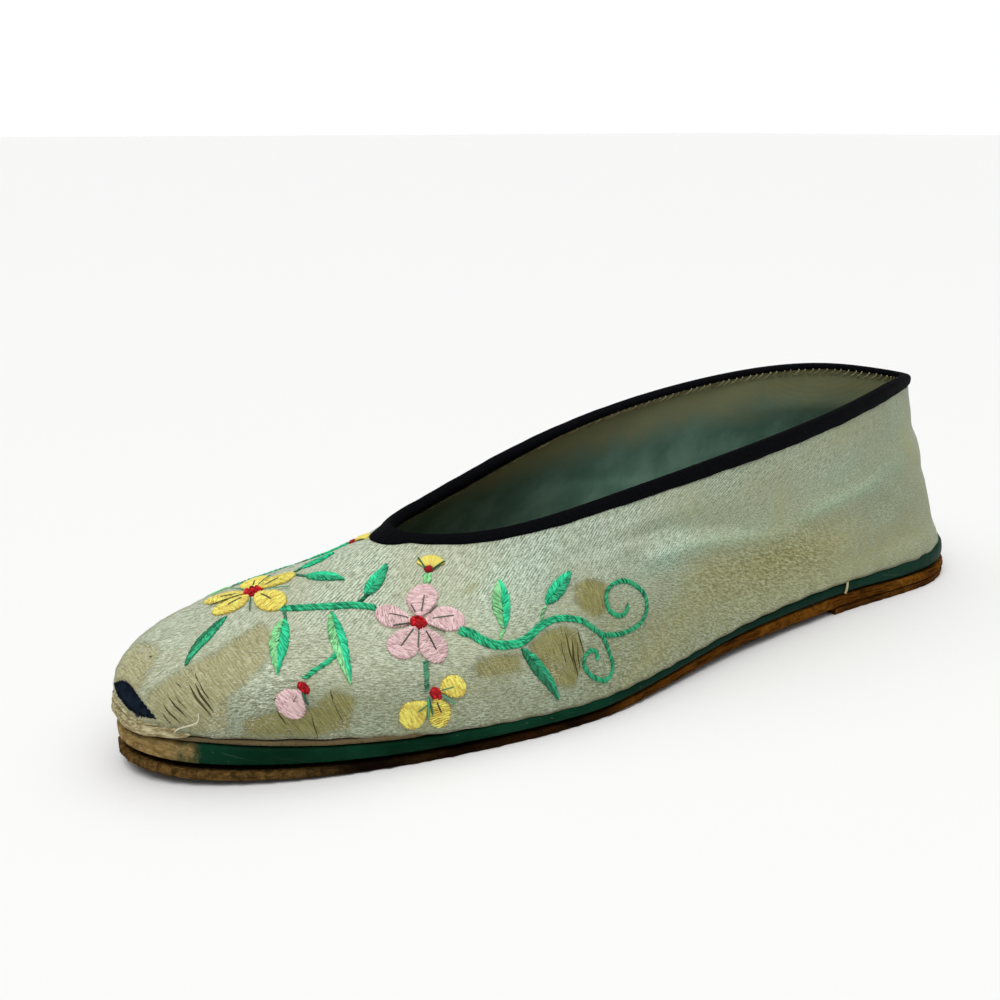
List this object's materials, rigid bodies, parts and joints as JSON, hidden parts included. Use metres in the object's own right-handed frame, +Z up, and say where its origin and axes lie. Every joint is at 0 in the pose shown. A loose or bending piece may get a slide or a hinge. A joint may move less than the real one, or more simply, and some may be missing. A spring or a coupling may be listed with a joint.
{
  "type": "embroidered silk slipper",
  "caption": "Left slip-on slipper: hollow silk upper with floral embroidery and a taped open collar, on a thin layered leather sole with a low heel lift.",
  "frame": {"origin": "centre of the slipper's box on the floor that it stands on", "axes": "-X towards the toe, +X towards the heel, -Y towards the outer flank, +Z up"},
  "size_m": [0.2351, 0.0728, 0.0552],
  "materials": {
    "sole_leather": "worn brown leather with a fibrous edge",
    "lift_leather": "worn brown leather",
    "green_leather": "dark green glazed leather, rubbed to tan at the toe",
    "tan_board": "cloth-covered board, pale tan",
    "silk": "pale celadon satin, stained and worn, with floral satin-stitch embroidery",
    "dark_tape": "near-black woven tape"
  },
  "bodies": {
    "root": {"outsole": "sole_leather", "heel_lift": "lift_leather", "midsole": "green_leather", "insole": "tan_board", "upper": "silk", "collar_binding": "dark_tape"}
  },
  "joints": []
}
